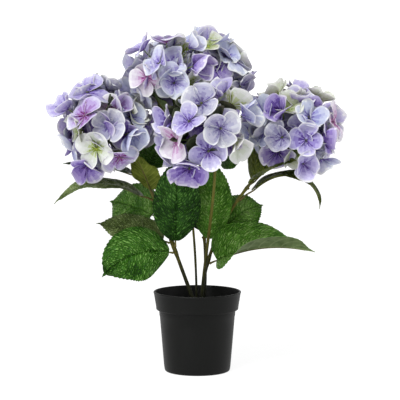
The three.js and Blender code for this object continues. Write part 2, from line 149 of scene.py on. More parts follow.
# Florets of the solids' own shell, and two more shells inside it that show between them: how many
# for each outer one, how deep, how large, how near they may come to a leaf or stem, and what is
# added to the head's seed and to the turn of its spiral.
SHELLS = table("share depth size touch seed turn", {
    "outer": (1, 0, 1, HEAD.touch, 0, 0),
    "inner": (0.8, 14, 0.94, 5, 500, pi),
    "core": (0.45, 27, 0.75, 4, 900, pi / 2),
})
EYE = Values(radius=1.6, lift=1.2, squash=0.8, beads=4, bead_radius=0.75, spread=1.25)
# Radii at the start and end of a limb, as shares of HEAD's own, how far a branch runs on past its
# fork, and how much a twig bows.
TWIG = Values(branch=(1.2, 0.85), fine=(0.75, 0.6), past=1.06, bow=0.45)
TIPS = (0.3, 0.5)  # how far a limb's two ends are domed, per radius
BARK = Values(waves=5, height=0.012)  # unevenness of a stem, per radius
BUD = Values(radius=0.55, out=0.8, up=1.5, lean=1.2, stretch=1.5)
BLADE = Values(
    rows=100,
    columns=36,
    thickness=0.55,
    start=0.012,
    end=0.994,
    veins=9,  # pairs of side veins
    sweep=0.24,  # share of the length that a side vein runs forward
    bow=1.25,  # how late it turns forward
    quilt=1.5,  # height of the pillows between veins
    cross=6,  # cells between the midrib and the edge
    pillow=0.62,  # share of that height where the pillows meet
    rows_of_pillows=36,
    pillows_across=12,
    gutter=0.12,  # how far each half is raised from the midrib, per width
    teeth=24,
    tooth=1.3,
    toothed_from=0.72,
    wave=1.6,
    fade=(0.03, 0.12, 0.9, 0.98),  # where all this grows in and dies away
    groove=0.045,  # half width of the groove over the midrib
    rib=0.9,  # share of the blade that its rib runs under
)
RIB = 0.8  # depth of the groove over a midrib
PEBBLES = Values(
    seed=77, most=90, clear=6, edge=4, radius=(1.2, 3.2), sunk=1.6, tilt=(50, 90),
    squash=(0.5, 0.8),
)
# What a head, a shell and a floret's number add to the seed of its petals.
PETAL_SEED = Values(head=7919, shell=977, floret=131, first=17)
LEAF_SEED, STEM_SEED = 100, 3
# How far a floret's number and its head's seed move its place in the deal of colours.
DEAL = Values(floret=0.718, head=0.17)
GOLDEN_ANGLE = pi * (3 - sqrt(5))
UP = np.array((0.0, 0.0, 1.0))


# ---- small tools ----

def mix(a, b, t):
    return a + (b - a) * t


def unit(v):
    return v / np.linalg.norm(v, axis=-1, keepdims=True)


def direction(heading, rise):
    """The way with that heading from +X towards +Y and that slope above level, in degrees."""
    h, r = np.radians(heading), np.radians(rise)
    parts = np.cos(r) * np.cos(h), np.cos(r) * np.sin(h), np.sin(r)
    return np.stack(np.broadcast_arrays(*parts), -1)


def seeded(seed):
    """Park and Miller's generator, as in the solids."""
    state = seed

    def draw(low=0.0, high=1.0):
        nonlocal state
        state = state * 48271 % 2147483647
        return low + (high - low) * state / 2147483647

    return draw


def across(axis):
    """Two unit vectors square to an axis. The first is level, or +X where the axis is upright."""
    side = np.cross(UP, axis)
    if np.linalg.norm(side) < 1e-3:
        side = np.array((1.0, 0.0, 0.0))
    side = unit(side)
    return side, unit(np.cross(axis, side))


def all_round(sides):
    """The angles of so many sides."""
    return np.linspace(0, 2 * pi, sides, endpoint=False)


def smooth(t, low, high):
    t = np.clip((t - low) / (high - low), 0, 1)
    return t * t * (3 - 2 * t)


# ---- meshes ----

def add_object(name, data):
    thing = bpy.data.objects.new(name, data)
    bpy.context.scene.collection.objects.link(thing)
    return thing


class Shape:
    """Points in millimetres, and faces with a material number and, where given, a map."""

    def __init__(self):
        self.points, self.faces, self.slots, self.maps, self.count = [], [], [], [], 0

    def add_faces(self, faces, slot, uv):
        """Adds faces of the points that come next."""
        self.faces.append(faces + self.count)
        self.slots.append(np.broadcast_to(slot, len(faces)))
        if uv is not None:
            self.maps.append(uv[faces.ravel()])

    def add(self, points, faces, slot=0, uv=None):
        self.add_faces(faces, slot, uv)
        self.points.append(np.asarray(points, float))
        self.count += len(points)

    def add_solid(self, solid, slot=0, uv=None):
        """Adds a solid given as points, four-sided faces and end triangles."""
        points, quads, ends = solid
        self.add_faces(quads, slot, uv)
        self.add(points, ends, slot, uv)

    def build(self, name, materials, slot, nodes=(), sharp=50):
        """Makes the piece: it rides on the plant's body and stands for the nodes."""
        mesh = bpy.data.meshes.new(name)
        points = np.concatenate(self.points) * MM
        sizes = np.concatenate([np.full(len(f), f.shape[1]) for f in self.faces])
        corners = np.concatenate([f.ravel() for f in self.faces])
        mesh.vertices.add(len(points))
        mesh.vertices.foreach_set("co", points.ravel())
        mesh.loops.add(len(corners))
        mesh.loops.foreach_set("vertex_index", corners.astype(np.int32))
        mesh.polygons.add(len(sizes))
        mesh.polygons.foreach_set("loop_start", (np.cumsum(sizes) - sizes).astype(np.int32))
        mesh.polygons.foreach_set("material_index", np.concatenate(self.slots).astype(np.int32))
        if self.maps:
            layer = mesh.uv_layers.new(name="Place")
            layer.uv.foreach_set("vector", np.concatenate(self.maps).astype(np.float32).ravel())
        mesh.update(calc_edges=True)
        mesh.validate()
        mesh.shade_smooth()
        mesh.set_sharp_from_angle(angle=radians(sharp))
        for material in materials:
            mesh.materials.append(material)
        piece = add_object(name, mesh)
        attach(piece, BODY)
        if nodes:
            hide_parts(*nodes)


def grid_faces(rows, columns, first=0):
    i, k = np.indices((rows, columns))
    a = first + i * (columns + 1) + k
    return np.stack([a, a + 1, a + columns + 2, a + columns + 1], -1).reshape(-1, 4)


def grid_normals(grid):
    return unit(np.cross(np.gradient(grid, axis=0), np.gradient(grid, axis=1)) + 1e-9)


def rim_of(rows, columns):
    """The point numbers round the edge of a grid, in turn."""
    wide = columns + 1
    first = np.arange(columns)
    right = np.arange(rows) * wide + columns
    last = rows * wide + np.arange(columns, 0, -1)
    left = np.arange(rows, 0, -1) * wide
    return np.concatenate([first, right, last, left])


def sheet(grid, thickness):
    """A closed thin sheet about a grid of points. Gives points, and upper, lower and rim faces."""
    rows, columns = grid.shape[0] - 1, grid.shape[1] - 1
    normal = grid_normals(grid)
    half = np.broadcast_to(thickness, grid.shape[:2])[..., None] / 2
    raised, lowered = grid + normal * half, grid - normal * half
    points = np.concatenate([raised.reshape(-1, 3), lowered.reshape(-1, 3)])
    many = (rows + 1) * (columns + 1)
    upper = grid_faces(rows, columns)[:, ::-1]
    lower = grid_faces(rows, columns, many)
    rim = rim_of(rows, columns)
    after = np.roll(rim, -1)
    walls = np.stack([rim, after, after + many, rim + many], -1)
    return points, upper, lower, walls


def ring_faces(count, sides):
    """Faces between rings of points, and from the end rings to two tips that follow them."""
    i, k = np.indices((count - 1, sides))
    a, b = i * sides + k, i * sides + (k + 1) % sides
    quads = np.stack([a, b, b + sides, a + sides], -1).reshape(-1, 4)
    tip, base, ring = count * sides, (count - 1) * sides, np.arange(sides)
    after = (ring + 1) % sides
    ends = np.concatenate([
        np.stack([np.full(sides, tip), after, ring], -1),
        np.stack([np.full(sides, tip + 1), base + ring, base + after], -1),
    ])
    return quads, ends


def tube(points, radii, sides):
    """A closed round limb through the points."""
    points = np.asarray(points, float)
    ways = unit(np.gradient(points, axis=0))
    side = across(ways[0])[0]
    rings = []
    turn = all_round(sides)[:, None]
    for point, way, radius in zip(points, ways, radii):
        side = unit(side - way * np.dot(side, way))
        other = np.cross(way, side)
        rings.append(point + radius * (np.cos(turn) * side + np.sin(turn) * other))
    first = points[:1] - ways[:1] * radii[0] * TIPS[0]
    last = points[-1:] + ways[-1:] * radii[-1] * TIPS[1]
    return np.concatenate([*rings, first, last]), *ring_faces(len(points), sides)


def turned(profile, sides):
    """A solid of revolution about +Z. The profile starts and ends on the axis."""
    profile = np.asarray(profile, float)
    turn = all_round(sides)
    inner = profile[1:-1]
    ring = np.stack([np.cos(turn), np.sin(turn), np.zeros(sides)], -1)
    points = (inner[:, None, :1] * ring[None]) + inner[:, None, 1:] * UP
    tips = profile[[0, -1], 1:] * UP
    return np.concatenate([points.reshape(-1, 3), tips]), *ring_faces(len(inner), sides)


def slant(start, end, shares):
    """Points of a profile on the line from start to end."""
    return [(mix(start[0], end[0], t), mix(start[1], end[1], t)) for t in shares]


def arc(centre, radius, start, end, steps):
    """Points of an arc of a profile, by angle in degrees."""
    turn = np.radians(np.linspace(start, end, steps + 1))
    return [(centre[0] + radius * cos(t), centre[1] + radius * sin(t)) for t in turn]


def ball(centre, radius, rows, sides, axis=UP, squash=1.0):
    """A small closed ball, squashed along its axis."""
    side, other = across(axis)
    polar = np.linspace(0, pi, rows + 1)[1:-1]
    polar, turn = np.meshgrid(polar, all_round(sides), indexing="ij")
    level = np.sin(polar)
    local = np.stack([level * np.cos(turn), level * np.sin(turn), -np.cos(polar) * squash], -1)
    points = local.reshape(-1, 3) @ np.stack([side, other, axis]) * radius + centre
    tips = np.stack([centre - axis * radius * squash, centre + axis * radius * squash])
    return np.concatenate([points, tips]), *ring_faces(rows - 1, sides)


# ---- materials ----

LIGHT = 1.55  # how much brighter a lit surface shows than its own colour


def linear(colour):
    """The base colour that shows as this one, given in hex, under the scene's light."""
    shown = np.array([int(colour[i:i + 2], 16) / 255 for i in (0, 2, 4)])
    light = np.where(shown <= 0.04045, shown / 12.92, ((shown + 0.055) / 1.055) ** 2.4)
    return (*(light / LIGHT), 1)


class Nodes:
    """A material's nodes: a call adds what it says and gives its output."""

    def __init__(self, name, colour, roughness, specular, **sockets):
        self.material = bpy.data.materials.new(name)
        self.material.use_nodes = True
        self.tree = self.material.node_tree
        self.shader = self.tree.nodes["Principled BSDF"]
        self.shader.inputs["Base Color"].default_value = linear(colour)
        self.shader.inputs["Roughness"].default_value = roughness
        self.shader.inputs["Specular IOR Level"].default_value = specular
        for socket, value in sockets.items():
            self.shader.inputs[socket.replace("_", " ")].default_value = value

    def add(self, kind, inputs=(), output=0, **settings):
        node = self.tree.nodes.new("ShaderNode" + kind)
        for key, value in settings.items():
            setattr(node, key, value)
        for key, value in dict(inputs).items():
            if isinstance(value, bpy.types.NodeSocket):
                self.tree.links.new(value, node.inputs[key])
            else:
                node.inputs[key].default_value = value
        return node.outputs[output]

    def link(self, value, socket):
        self.tree.links.new(value, self.shader.inputs[socket])

    def math(self, operation, a, b=0.0):
        return self.add("Math", {0: a, 1: b}, operation=operation)

    def plus(self, a, b):
        return self.math("ADD", a, b)

    def times(self, a, b):
        return self.math("MULTIPLY", a, b)

    def noise(self, scale, detail=4.0, place=None, distortion=0.0):
        inputs = {"Scale": scale, "Detail": detail, "Distortion": distortion}
        inputs["Vector"] = place or self.place()
        return self.add("TexNoise", inputs)

    def noise_vector(self, scale):
        """A small random shift, mostly within 0.4 each way."""
        shift = self.add("TexNoise", {"Vector": self.place(), "Scale": scale}, output=1)
        middle = self.add("VectorMath", {0: shift, 1: (0.5, 0.5, 0.5)}, operation="SUBTRACT")
        return self.add("VectorMath", {0: middle, "Scale": 1.6}, operation="SCALE")

    def place(self):
        return self.add("TexCoord", output=3)

    def stretched(self, x, y, z):
        return self.add("Mapping", {"Vector": self.place(), "Scale": (x, y, z)})

    def ramp(self, value, *stops):
        """Colours by value, each stop a place and a colour in hex."""
        socket = self.add("ValToRGB", {0: value})
        elements = socket.node.color_ramp.elements
        while len(elements) < len(stops):
            elements.new(0.5)
        for element, (place, colour) in zip(elements, stops):
            element.position = place
            element.color = linear(colour)
        return socket

    def range(self, value, low, high, to_low, to_high):
        inputs = {0: value, 1: low, 2: high, 3: to_low, 4: to_high}
        return self.add("MapRange", inputs)

    def blended(self, share, a, b):
        inputs = {0: share, 6: a, 7: b}
        return self.add("Mix", inputs, output=2, data_type="RGBA")

    def bump(self, height, distance, strength=1.0):
        inputs = {"Height": height, "Distance": distance, "Strength": strength}
        self.link(self.add("Bump", inputs), "Normal")


def pot_plastic():
    nodes = Nodes("pot_plastic", "0d0e0d", 0.5, 0.13)
    fine = nodes.noise(900, 3)
    broad = nodes.noise(26, 3, nodes.stretched(1, 1, 0.35))
    nodes.link(nodes.ramp(broad, (0.3, "070807"), (0.7, "0e0f0d")), "Base Color")
    patches = nodes.plus(nodes.times(fine, 0.4), broad)
    nodes.link(nodes.range(patches, 0.4, 1, 0.42, 0.54), "Roughness")
    nodes.bump(nodes.plus(fine, nodes.times(broad, 1.5)), 0.00012, 0.5)
    return nodes.material


def grained(name, surface, noise, stops, bump):
    """One noise for the colour and the relief. The surface is a roughness and a specular level."""
    nodes = Nodes(name, stops[0][1], *surface)
    grain = nodes.noise(*noise)
    nodes.link(nodes.ramp(grain, *stops), "Base Color")
    nodes.bump(grain, *bump)
    return nodes.material


def crust():
    stops = (0.35, "120f0d"), (0.55, "262019"), (0.75, "3b3228")
    return grained("crust", (0.9, 0.15), (140, 6), stops, (0.0015, 0.8))


def pebble():
    stops = (0.3, "211e1a"), (0.7, "453f36")
    return grained("pebble", (0.75, 0.2), (420, 4), stops, (0.0004, 0.6))


def streaked(name, dark, pale):
    """Two tones in fine streaks, for stalks, twigs and eyes."""
    stops = (0.3, dark), (0.7, pale)
    return grained(name, (0.6, 0.2), (300, 3), stops, (0.0002, 0.5))


def stem_bark():
    """Near black at the foot and golden olive higher up, with lengthwise streaks."""
    nodes = Nodes("stem_bark", "4a4520", 0.55, 0.12)
    height = nodes.add("SeparateXYZ", {0: nodes.place()}, output=2)
    streaks = nodes.noise(60, 5, nodes.stretched(8, 8, 0.7))
    share = nodes.plus(nodes.range(height, 0.09, 0.3, 0, 0.7), nodes.times(streaks, 0.5))
    stops = (0.2, "0a0b05"), (0.4, "24260a"), (0.6, "5a551c"), (0.95, "80803a")
    nodes.link(nodes.ramp(share, *stops), "Base Color")
    nodes.link(nodes.range(streaks, 0.3, 0.7, 0.45, 0.7), "Roughness")
    nodes.bump(nodes.plus(streaks, nodes.noise(900, 2)), 0.0003, 0.7)
    return nodes.material


def vein_share(nodes):
    """How near a point of a blade is to a vein, from 0 to 1, and its place among the pillows."""
    along = nodes.add("SeparateXYZ", {0: nodes.add("UVMap", uv_map="Place")})
    over = along.node.outputs[1]
    from_rib = nodes.math("ABSOLUTE", nodes.math("SUBTRACT", nodes.times(over, 2.0), 1.0))
    swept = nodes.times(nodes.math("POWER", from_rib, BLADE.bow), BLADE.sweep)
    forward = nodes.math("SUBTRACT", along, swept)
    count = nodes.times(forward, pi * BLADE.veins)
    off_vein = nodes.math("ABSOLUTE", nodes.math("SINE", count))
    side = nodes.range(off_vein, 0.0, 0.34, 1, 0)
    rib = nodes.range(from_rib, 0.012, 0.06, 1, 0)
    rows = nodes.add("CombineXYZ", {
        0: nodes.times(forward, BLADE.rows_of_pillows),
        1: nodes.times(over, BLADE.pillows_across),
    })
    return nodes.math("MAXIMUM", side, rib), rows


# Leaves by tone. The others are mid green. Three tones paint light: the lightest green is a lighter
# copy of the leaf green for leaves that stand in the shade of the heads and of other leaves; the
# grey-green of left_behind and left_long is their own hue, made lighter as painted light where they
# lie in shade; the olive is the hue of its leaves, made lighter as painted light for left_crest in
# the shade of the left head.
LEAF_TONES = {
    "bright": "left_low",
    "painted_light": "left_mid left_inner right_upright right_low right_behind front_side back_left",
    "ash_painted_light": "left_behind left_long",
    "olive": "left_crest right_droop right_crest back_crest",
    "dark": "top_left",
}
# Dark, blade and pale green, and the grooves over the veins. The pale green is a painted highlight
# on the pillows' crowns and the dark green, with the random tone, paints shade at their edges; the
# groove colour is painted shade laid over the veins.
TONES = {
    # painted light: a lighter copy of the leaf green, for leaves in shade
    "painted_light": "3a6a16 649a34 94be66 3c6c1c",
    "bright": "1a4006 3c7018 72a04c 1e4609",
    "mid": "0e2c06 2c5a14 5c8c3e 12320a",
    "dark": "081c02 15360a 2a5014 0a2004",
    # olive hue, made lighter as painted light for left_crest in the left head's shade
    "olive": "3e5012 687826 96a044 3a4612",
    # grey-green hue, made lighter as painted light for leaves in shade
    "ash_painted_light": "586c34 869c5a b2c288 5a6c3a",
}


def blade_top(tone):
    """Small pillows in rows along the side veins, with a painted highlight pale on their crowns,
    painted shade dark at their edges and in the grooves over the veins, and a broad random tone
    strong enough to stand in for broad light and shade.
    """
    dark, middle, pale, groove = TONES[tone].split()
    nodes = Nodes("leaf_" + tone, middle, 0.34, 0.12)
    veins, rows = vein_share(nodes)
    mottle = nodes.noise(38, 4, distortion=0.6)
    grain = nodes.noise(620, 4)
    bent = nodes.add("VectorMath", {0: rows, 1: nodes.noise_vector(90)}, operation="ADD")
    cells = nodes.add("TexVoronoi", {"Vector": bent, "Scale": 1.0}, feature="DISTANCE_TO_EDGE")
    # painted highlight and shade: the pillows' crowns are made pale and their edges dark; the same
    # crowns raise the bump
    crown_relief_and_painted_light = nodes.range(cells, 0.0, 0.34, 0, 1)
    shade = nodes.plus(nodes.times(mottle, 0.75), nodes.times(grain, 0.3))
    shade = nodes.plus(shade, nodes.times(crown_relief_and_painted_light, 0.34))
    blade = nodes.ramp(shade, (0.49, dark), (0.68, middle), (0.87, pale))
    # painted shade: the dark groove colour is laid over the side veins and the midrib
    nodes.link(nodes.blended(nodes.times(veins, 0.4), blade, linear(groove)), "Base Color")
    nodes.link(nodes.range(grain, 0.3, 0.7, 0.3, 0.46), "Roughness")
    height = nodes.plus(crown_relief_and_painted_light, nodes.times(grain, 0.35))
    nodes.bump(height, 0.0018, 1.0)
    return nodes.material


def blade_under(name, dark, pale, rib):
    nodes = Nodes(name, pale, 0.7, 0.12)
    veins, _ = vein_share(nodes)
    mottle = nodes.noise(90, 5)
    blade = nodes.ramp(mottle, (0.3, dark), (0.7, pale))
    nodes.link(nodes.blended(nodes.times(veins, 0.5), blade, linear(rib)), "Base Color")
    nodes.bump(nodes.plus(mottle, nodes.noise(700, 2)), 0.0004, 0.5)
    return nodes.material


def petal_cloth(name, colour):
    """Printed polyester: one plain colour, with a fine weave in its bump and sheen."""
    nodes = Nodes(
        name, colour, 0.8, 0.1, Sheen_Weight=0.08, Sheen_Roughness=0.5, Subsurface_Weight=0.4,
        Subsurface_Radius=(1.0, 0.85, 1.0), Subsurface_Scale=0.003,
    )
    weave = nodes.noise(1400, 2)
    folds = nodes.noise(160, 3, distortion=0.6)
    nodes.link(nodes.range(weave, 0.3, 0.7, 0.7, 0.9), "Roughness")
    nodes.bump(nodes.plus(nodes.times(weave, 0.3), folds), 0.0006, 0.45)
    return nodes.material


LEVELS = 6  # colours in a palette, from the throat to the rim of a petal
PALETTES = {
    "lilac": "5f4696 9184c6 b0a7da c0bae4 d0cdeb f0eef6",
    # painted light: a lighter copy of the lilac and blue for the top head, which stands highest in
    # the light
    "light": "7a66b6 aca4dc c6c3ea d6d8f2 e2e6f7 f7f8fc",
    "blue": "7262b4 a0a0d6 bbbfe4 c9ceea d6dbef f2f4f8",
    "grey": "665a96 9490b6 aeadc8 c2c1d5 d2d2de efeff2",
    "violet": "40266c 6c54a6 907cc4 a99ad2 beb4e0 e6e1f2",
    "pale": "8fa436 c4d098 dfe4d6 e8eae5 efefee f8f9f7",
    "blush": "a04e93 cba2cb ddcbe4 e7dcec efe8f3 f8f5f9",
    "green": "7f9440 a9b67c c3caa8 d2d7c2 dfe2d6 f1f2ec",
    "magenta": "7c2f78 a47fbe b9a4da c7bde3 d5d0ea eeecf4",
    # painted shade: near-black greens for florets deep inside a head, dark where shade falls among
    # them
    "deep": "12180a 1a2210 242c18 303824 3e442e 50563e",
}
# Colours dealt out in each head, for its outer, inner and core shell. The deep palette in the inner
# and core shells is painted shade among the florets, and the light palette of the top head is
# painted light.
DEALS = {
    "left": (
        "lilac blue violet lilac blue grey lilac magenta lilac blue lilac pale violet lilac grey",
        "lilac blue violet lilac grey blue lilac green violet",
        "deep deep violet deep",
    ),
    "right": (
        "lilac blue violet lilac grey blue lilac", "lilac grey violet grey lilac green",
        "deep violet deep",
    ),
    "front": (
        "lilac blue violet lilac blue grey lilac violet lilac pale lilac grey",
        "deep violet deep lilac deep",
        "deep",
    ),
    "top": ("light blue light lilac pale light light", "light lilac pale light", "light lilac"),
    "back": ("lilac blue lilac blue pale lilac blue grey", "lilac blue lilac grey", "deep grey"),
}
EYE_TONES = {
    "eye_green": ("8a9a2e", "c6cf5e"),
    "eye_pink": ("6c3563", "b084a8"),
    "eye_lilac": ("39304a", "6f7a4a"),
}
# Eyes by palette. The others have lilac ones.
EYES = {"pale": "eye_green", "green": "eye_green", "blush": "eye_pink", "magenta": "eye_pink"}
# Florets that stand out, by head and shell, and by place in the spiral.
CHOSEN = {
    ("left", "outer"): {
        0: "lilac", 5: "magenta", 8: "magenta", 10: "green", 15: "blue", 16: "green", 18: "pale",
        23: "violet", 26: "magenta",
    },
    ("left", "inner"): {4: "blush", 9: "violet"},
    ("right", "outer"): {
        0: "green", 2: "blush", 6: "green", 9: "violet", 12: "lilac", 14: "blue", 20: "lilac",
    },
    ("front", "outer"): {
        0: "grey", 1: "blue", 3: "lilac", 4: "lilac", 7: "blush", 8: "blue", 13: "pale",
        15: "violet",
    },
    ("front", "inner"): {1: "violet"},
    # the light palette here is painted light on the top head
    ("top", "outer"): {0: "magenta", 3: "light", 5: "light", 8: "violet", 10: "blush", 11: "pale"},
    ("top", "inner"): {9: "blue"},
    ("back", "outer"): {6: "green", 14: "violet"},
}


# ---- stems and leaves ----

def head_axis(name):
    return direction(*HEADS[name].axis)


def head_centre(name):
    return np.array(HEADS[name].centre, float)


def stem_frame(name):
    """The four points of a stem's curve."""
    stem, head = STEMS[name], HEADS[name]
    axis = head_axis(name)
    tip = head_centre(name) - axis * (head.stalk + CLEAR)
    foot = np.array((*stem.foot, FILL_TOP + CLEAR), float)
    return foot, np.array(stem.handle, float), tip - axis * stem.reach, tip


def stem_point(name, share):
    a, b, c, d = stem_frame(name)
    t = np.asarray(share, float)[..., None]
    return a * (1 - t) ** 3 + 3 * b * t * (1 - t) ** 2 + 3 * c * t * t * (1 - t) + d * t ** 3


def stem_way(name, share):
    return unit(stem_point(name, share + 1e-4) - stem_point(name, share - 1e-4))


def stem_radius(name, share):
    here = stem_point(name, share)
    swelling = 0
    for entry in LEAVES[name].values():
        apart = np.linalg.norm(here - stem_point(name, entry.at), axis=-1) / STEM.node_length
        swelling = np.maximum(swelling, np.exp(-apart ** 2))
    thick, thin = STEMS[name].radius
    return mix(thick, thin, share) * (1 + STEM.node * swelling)


def leaf_base(stem, entry):
    """Where a leaf's stalk starts, just clear of its stem."""
    along = stem_way(stem, entry.at)
    first = direction(entry.heading, entry.rise[0])
    out = unit(first - along * np.dot(first, along))
    return stem_point(stem, entry.at) + out * (stem_radius(stem, entry.at) + CLEAR)


def midrib(stem, entry):
    """Gives the point, way, side and face at each distance along a leaf's stalk and midrib."""
    steps = 40
    stalk, length = entry.stalk, entry.length
    walked = np.linspace(0, stalk + length, steps + 1)
    share = np.clip((walked - stalk) / length, 0, None)
    ways = direction(entry.heading, mix(*entry.rise, share ** entry.late))
    strides = np.concatenate([np.zeros((1, 3)), ways[:-1] * (stalk + length) / steps])
    points = leaf_base(stem, entry) + np.cumsum(strides, axis=0)
    level = direction(entry.heading + 90, 0)

    def between(distance, values):
        return np.stack([np.interp(distance, walked, values[:, i]) for i in range(3)], -1)

    def at(distance):
        point, way = between(distance, points), unit(between(distance, ways))
        above = np.cross(way, level)
        part = np.clip((distance - stalk) / length, 0, 1)
        roll = np.radians(mix(*entry.roll, part))[..., None]
        side = level * np.cos(roll) - above * np.sin(roll)
        face = above * np.cos(roll) + level * np.sin(roll)
        return point, way, side, face

    return at


def blade_outline(entry, s):
    in_egg = np.minimum(s / LEAF.egg, 1)
    egg = np.sin(pi * in_egg ** entry.fullest).clip(0) ** LEAF.roundness
    tail = np.minimum(LEAF.tail, LEAF.tail * (1 - s) / (1 - LEAF.tail_from))
    return np.maximum(egg, np.where(s > 0.5, tail, 0))


def blade_points(entry, walk, s, q):
    """Points of the blade's middle surface, as in the solids."""
    point, _, side, face = walk(entry.stalk + entry.length * s)
    half = entry.width / 2 * blade_outline(entry, s)
    lift = half * (entry.fold * np.abs(q) - LEAF.curl * q * q)
    return point + side * (half * q)[..., None] + face * lift[..., None]


def vein_pillows(s, q):
    """Height of the quilting between the veins, from 0 on a vein to 1."""
    count = BLADE.veins * (s - BLADE.sweep * np.abs(q) ** BLADE.bow)
    pillow = np.abs(np.sin(pi * count)) ** 0.6
    stagger = 0.5 * (np.floor(count) % 2)
    cross = np.abs(np.sin(pi * (BLADE.cross * np.abs(q) + stagger))) ** 0.7
    fade = smooth(np.abs(q), 0, 2 * BLADE.groove)
    return fade * (BLADE.pillow * pillow + (1 - BLADE.pillow) * pillow * cross)


def leaf_blade(stem, entry, seed):
    draw = seeded(seed)
    walk = midrib(stem, entry)
    s = np.linspace(BLADE.start, BLADE.end, BLADE.rows + 1)[:, None]
    spread = np.linspace(-1, 1, BLADE.columns + 1)[None]
    q = np.sign(spread) * np.abs(spread) ** 1.1
    s, q = np.broadcast_arrays(s, q)
    grid = blade_points(entry, walk, s, q)
    _, way, side, face = walk(entry.stalk + entry.length * s)
    saw = (s * BLADE.teeth) % 1
    fade = smooth(s, *BLADE.fade[:2]) * (1 - smooth(s, *BLADE.fade[2:]))
    tooth = BLADE.tooth * saw * fade * smooth(np.abs(q), BLADE.toothed_from, 1)
    grid = grid + side * (np.sign(q) * tooth)[..., None] + way * (tooth * 0.8)[..., None]
    height = BLADE.quilt * (vein_pillows(s, q) - 0.5) * (1 - 0.6 * np.abs(q) ** 5) * fade
    for hand in (-1, 1):
        on = (np.sign(q) == hand) * np.abs(q) ** 1.6
        turns, phase = draw(2.2, 3.4), draw(0, 2 * pi)
        height = height + BLADE.wave * on * np.sin(2 * pi * turns * s + phase) * fade
    rib = np.exp(-(q / BLADE.groove) ** 2) * (1 - 0.5 * s)
    gutter = BLADE.gutter * entry.width / 2 * blade_outline(entry, s) * np.abs(q)
    grid = grid + face * (height + gutter - RIB * rib)[..., None]
    thickness = BLADE.thickness * (1 - 0.4 * np.abs(q) ** 4) * np.ones_like(s)
    points, upper, lower, walls = sheet(grid, thickness)
    uv = np.stack([s.ravel(), (q.ravel() + 1) / 2], -1)
    return points, upper, lower, walls, np.concatenate([uv, uv])


def leaf_stalk(stem, entry):
    """The stalk, which runs on under the blade as its rib."""
    walk = midrib(stem, entry)
    length = entry.stalk + BLADE.rib * entry.length
    share = np.linspace(0, 1, 36)
    point, _, _, face = walk(share * length)
    joined = entry.stalk / length
    sunk = smooth(share, joined * 0.5, joined + 0.04)
    radii = LEAF.stalk_radius * np.interp(share, [0, 0.03, joined, 1], [1.15, 0.9, 0.72, 0.2])
    depth = radii + RIB * (1 - 0.5 * share) + BLADE.quilt / 2
    return tube(point - face * (sunk * depth)[:, None], radii, 8)


def add_leaves(tops, unders, stalk):
    tone_of = {name: tone for tone, names in LEAF_TONES.items() for name in names.split()}
    number = LEAF_SEED
    for stem, entries in LEAVES.items():
        for place, entry in entries.items():
            number += 1
            points, upper, lower, walls, uv = leaf_blade(stem, entry, number)
            slots = np.repeat([0, 1, 0], [len(upper), len(lower), len(walls)])
            shape = Shape()
            shape.add(points, np.concatenate([upper, lower, walls]), slots, uv)
            solid = leaf_stalk(stem, entry)
            shape.add_solid(solid, 2, np.zeros((len(solid[0]), 2)))
            name = f"{stem}_{place}"
            tone = tone_of.get(name, "mid")
            materials = [tops[tone], unders.get(tone, unders["mid"]), stalk]
            shape.build(f"blade_{name}", materials, "leaf", [f"leaf_{name}"])


def add_stems(bark):
    for name in STEMS:
        shape = Shape()
        draw = seeded(HEADS[name].seed + STEM_SEED)
        share = np.linspace(0, 1, 90)
        radii = stem_radius(name, share)
        waves = [np.sin(share * draw(20, 90) + draw(0, 6)) for _ in range(BARK.waves)]
        wobble = sum(waves) * BARK.height
        shape.add_solid(tube(stem_point(name, share), radii * (1 + wobble), 14))
        for entry in LEAVES[name].values():
            along = stem_way(name, entry.at)
            away = unit(np.cross(along, direction(entry.heading, entry.rise[0])))
            radius = float(stem_radius(name, entry.at))
            bud = stem_point(name, entry.at) + away * radius * BUD.out + along * BUD.up
            axis = unit(away + along * BUD.lean)
            shape.add_solid(ball(bud, radius * BUD.radius, 6, 8, axis, BUD.stretch))
        shape.build(f"stalk_{name}", [bark], "stem", [f"stem_{name}"])


# ---- flower heads ----

def obstacle_points():
    """Points all over the leaves and stems, which the florets keep away from."""
    marks = []
    for stem, entries in LEAVES.items():
        for entry in entries.values():
            s, q = np.meshgrid(np.arange(13) / 12, (-1, -0.5, 0, 0.5, 1), indexing="ij")
            marks.append(blade_points(entry, midrib(stem, entry), s, q).reshape(-1, 3))
        marks.append(stem_point(stem, np.arange(41) / 40))
    return np.concatenate(marks)


def floret_places(name, shell):
    """Where each floret of a head sits and looks: a golden-angle spiral over the open ball."""
    head, layer = HEADS[name], SHELLS[shell]
    draw = seeded(head.seed + layer.seed)
    axis = head_axis(name)
    side, other = across(axis)
    count = round(head.florets * layer.share)
    floor = cos(radians(head.open))
    for i in range(count):
        polar = acos(mix(1, floor, (i + 0.5) / count)) + HEAD.jitter * (draw() - 0.5)
        azimuth = i * GOLDEN_ANGLE + HEAD.jitter * (draw() - 0.5) + layer.turn
        outward = (
            axis * cos(polar)
            + side * sin(polar) * cos(azimuth)
            + other * sin(polar) * sin(azimuth)
        )
        tilted = outward + side * HEAD.tilt * (draw() - 0.5)
        face = unit(tilted + other * HEAD.tilt * (draw() - 0.5))
        size = mix(*FLORET.size, draw()) * layer.size
        cup = radians(mix(*FLORET.cup, draw()))
        spin = draw() * pi * 0.5
        radius = head.radius + HEAD.layers[i % len(HEAD.layers)] - layer.depth
        yield Values(
            point=head_centre(name) + outward * radius, outward=outward, face=face, size=size,
            cup=cup, spin=spin, polar=polar, azimuth=azimuth, shell=shell, number=i,
        )


def petal_tips(place):
    side, other = across(place.face)
    reach = FLORET.reach * place.size
    turn = place.spin + np.arange(4)[:, None] * pi / 2
    level, rise = reach * cos(place.cup), reach * sin(place.cup)
    around = np.cos(turn) * side + np.sin(turn) * other
    return place.point + level * around + rise * place.face


